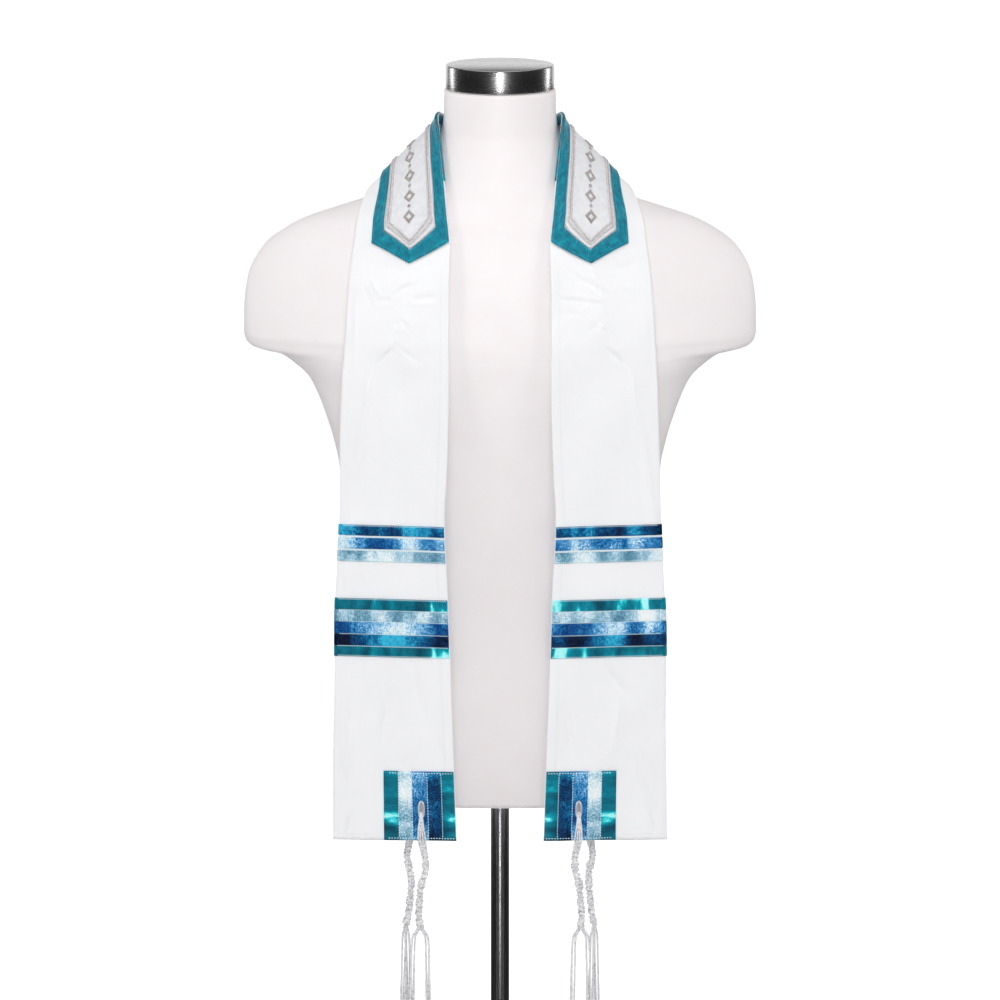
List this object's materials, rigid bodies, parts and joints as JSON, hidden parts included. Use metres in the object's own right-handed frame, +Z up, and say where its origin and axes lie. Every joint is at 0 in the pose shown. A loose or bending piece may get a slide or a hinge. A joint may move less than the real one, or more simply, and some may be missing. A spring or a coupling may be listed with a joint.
{
  "type": "tallit prayer shawl on a limbless dress form",
  "caption": "White tallit prayer shawl folded into a stole with blue and teal stripes, neckband and corner tassels, on a torso form with a stand.",
  "frame": {"origin": "centre of the stand's underside, on the surface it stands on", "axes": "+Z up, the garment's front faces -Y, +X to the viewer's right"},
  "size_m": [0.4916, 0.32, 1.1073],
  "materials": {
    "white_cloth": "matte fine weave",
    "white_satin": "satin",
    "teal_satin": "satin",
    "teal_lame": "metallic ribbon",
    "navy_lame": "metallic ribbon",
    "blue_lame": "metallic ribbon",
    "silver_lame": "metallic ribbon",
    "silver_braid": "metallic thread",
    "wool_cord": "matte twisted wool",
    "form_shell": "smooth matte",
    "brushed_steel": "brushed"
  },
  "bodies": {
    "root": {"corner_back_left_1": "teal_lame", "corner_back_left_2": "navy_lame", "corner_back_left_3": "blue_lame", "corner_back_left_4": "silver_lame", "corner_back_left_5": "teal_lame", "corner_back_right_1": "teal_lame", "corner_back_right_2": "navy_lame", "corner_back_right_3": "blue_lame", "corner_back_right_4": "silver_lame", "corner_back_right_5": "teal_lame", "corner_front_left_1": "teal_lame", "corner_front_left_2": "navy_lame", "corner_front_left_3": "blue_lame", "corner_front_left_4": "silver_lame", "corner_front_left_5": "teal_lame", "corner_front_right_1": "teal_lame", "corner_front_right_2": "navy_lame", "corner_front_right_3": "blue_lame", "corner_front_right_4": "silver_lame", "corner_front_right_5": "teal_lame", "form_body": "form_shell", "neck_cap": "brushed_steel", "neckband_border": "teal_satin", "neckband_outline": "silver_braid", "neckband_panel": "white_satin", "ribbon_lower_1_left": "teal_lame", "ribbon_lower_1_right": "teal_lame", "ribbon_lower_2_left": "silver_lame", "ribbon_lower_2_right": "silver_lame", "ribbon_lower_3_left": "blue_lame", "ribbon_lower_3_right": "blue_lame", "ribbon_lower_4_left": "navy_lame", "ribbon_lower_4_right": "navy_lame", "ribbon_lower_5_left": "teal_lame", "ribbon_lower_5_right": "teal_lame", "ribbon_upper_1_left": "navy_lame", "ribbon_upper_1_right": "navy_lame", "ribbon_upper_2_left": "blue_lame", "ribbon_upper_2_right": "blue_lame", "ribbon_upper_3_left": "silver_lame", "ribbon_upper_3_right": "silver_lame", "shawl_cloth": "white_cloth", "shawl_hidden_layers": "white_cloth", "stand_base": "brushed_steel", "stand_pole": "brushed_steel", "tassel_back_left": "wool_cord", "tassel_back_right": "wool_cord", "tassel_front_left": "wool_cord", "tassel_front_right": "wool_cord"}
  },
  "joints": []
}
